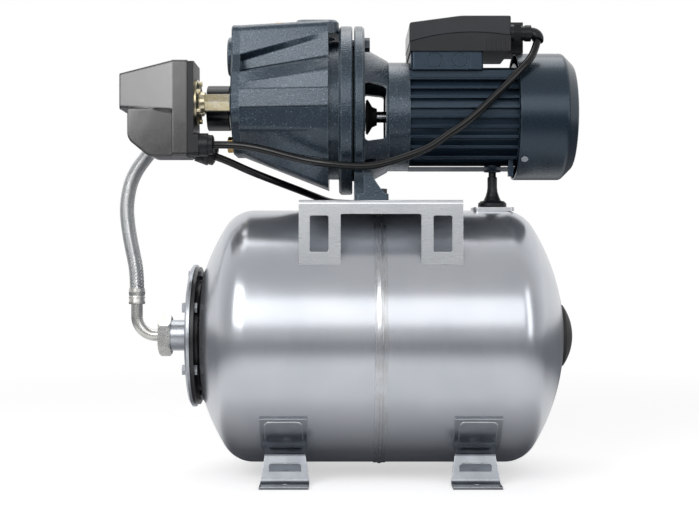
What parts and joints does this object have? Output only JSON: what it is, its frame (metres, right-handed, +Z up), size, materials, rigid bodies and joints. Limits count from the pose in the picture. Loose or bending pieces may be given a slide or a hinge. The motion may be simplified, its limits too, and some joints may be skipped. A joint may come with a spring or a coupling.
{
  "type": "booster pump set",
  "caption": "Self-priming jet pump with motor, pressure switch and gauge on a horizontal steel pressure tank, with a braided hose and cables.",
  "frame": {"origin": "on the floor, in the middle of the four bolt holes of the feet", "axes": "+X along the shaft towards the motor fan, +Z up, +Y away from the side with the cable glands"},
  "size_m": [0.4915, 0.3258, 0.4852],
  "materials": {
    "stainless": "satin",
    "zinc_steel": "satin",
    "yellow_zinc": "satin",
    "cast_paint": "semi gloss",
    "motor_paint": "semi gloss",
    "cover_paint": "semi gloss",
    "platform_paint": "semi gloss",
    "black_plastic": "satin",
    "grey_plastic": "satin",
    "rubber": "matte",
    "brass": "machined",
    "steel": "ground",
    "laminations": "varnished",
    "resin": "moulded",
    "ceramic": "lapped",
    "dial_white": "matte",
    "needle_black": "matte",
    "clear_lens": "clear",
    "can_grey": "smooth"
  },
  "bodies": {
    "frame": {"tank_shell_left": "stainless", "tank_shell_right": "stainless", "tank_neck": "platform_paint", "cover_plate": "zinc_steel", "flange_fasteners": "zinc_steel", "bladder": "rubber", "air_valve": "brass", "foot_front_left": "stainless", "foot_front_right": "stainless", "foot_rear_left": "stainless", "foot_rear_right": "stainless", "platform": "stainless", "pump_casing": "cast_paint", "casing_gasket": "rubber", "lantern_bracket": "cast_paint", "m8_bolts": "zinc_steel", "drain_plug": "brass", "diffuser": "resin", "ejector": "resin", "bearings": "steel", "seal_seat": "ceramic", "stator_housing": "motor_paint", "stator_core": "laminations", "rear_end_shield": "motor_paint", "fan_cover": "cover_paint", "cover_screws": "zinc_steel", "rear_stand": "rubber", "terminal_box_base": "motor_paint", "terminal_box_tray": "black_plastic", "terminal_box_lid": "black_plastic", "terminal_block": "resin", "capacitor": "can_grey", "box_gland": "black_plastic", "switch_cover": "grey_plastic", "switch_base": "black_plastic", "switch_works": "zinc_steel", "diaphragm_housing": "yellow_zinc", "switch_nipple": "brass", "gauge_case": "black_plastic", "gauge_dial": "dial_white", "gauge_lens": "clear_lens", "hose_elbow": "zinc_steel", "hose": "rubber", "hose_top_fitting": "brass", "motor_lead": "rubber", "mains_lead": "rubber", "mains_coil": "rubber", "mains_plug": "black_plastic"},
    "rotor": {"shaft": "steel", "impeller": "brass", "impeller_nut": "steel", "rotor_core": "laminations", "fan": "black_plastic", "seal_head": "rubber", "slinger": "rubber"},
    "needle": {"gauge_needle": "needle_black"},
    "lever": {"switch_lever": "zinc_steel"},
    "cap": {"valve_cap": "black_plastic"},
    "plug": {"priming_plug": "brass"},
    "nut": {"union_nut": "zinc_steel"}
  },
  "joints": [
    {"name": "rotor_spin", "type": "hinge", "parent": "frame", "child": "rotor", "pos_m": [0, 0, 0.384], "axis": [1, 0, 0], "continuous": true},
    {"name": "needle_turn", "type": "hinge", "parent": "frame", "child": "needle", "pos_m": [-0.18, 0.014, 0.395], "axis": [1, 0, 0], "range_deg": [0, 270], "stiffness_Nm_per_rad": 0.002},
    {"name": "lever_turn", "type": "hinge", "parent": "frame", "child": "lever", "pos_m": [-0.2032, -0.0435, 0.353], "axis": [0, -1, 0], "range_deg": [0, 2.5], "stiffness_Nm_per_rad": 4},
    {"name": "cap_pull", "type": "slide", "parent": "frame", "child": "cap", "axis": [1, 0, 0], "range_m": [0, 0.02]},
    {"name": "plug_lift", "type": "slide", "parent": "frame", "child": "plug", "axis": [0, 0, 1], "range_m": [0, 0.03]},
    {"name": "nut_turn", "type": "hinge", "parent": "frame", "child": "nut", "pos_m": [-0.23, 0, 0.148], "axis": [1, 0, 0], "continuous": true}
  ]
}
